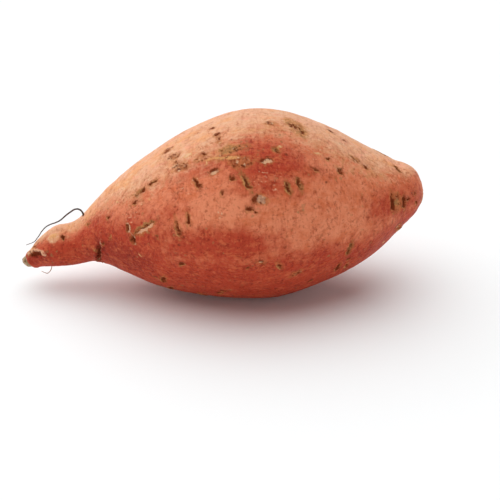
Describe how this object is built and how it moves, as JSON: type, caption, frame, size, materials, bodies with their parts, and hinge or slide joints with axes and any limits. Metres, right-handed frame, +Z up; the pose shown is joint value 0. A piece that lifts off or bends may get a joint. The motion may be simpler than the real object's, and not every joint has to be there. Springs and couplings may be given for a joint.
{
  "type": "sweet potato",
  "caption": "Whole raw sweet potato lying on its belly: plump in the middle, with a thin cut-off tail, a blunt crown and dry hair roots at the tail.",
  "frame": {"origin": "on the resting surface, under the middle of the object's box", "axes": "+X along the root from the cut tail to the blunt crown, +Y to its back, +Z up"},
  "size_m": [0.1776, 0.088, 0.0812],
  "materials": {
    "skin": "dull orange-brown sweet potato skin with a faint waxy sheen, paler on top, with corky scars and dark pits",
    "dry_root": "dull dark brown dried hair root"
  },
  "bodies": {
    "root": {"storage_root": "skin", "hair_root_long": "dry_root", "hair_root_curl": "dry_root"}
  },
  "joints": []
}
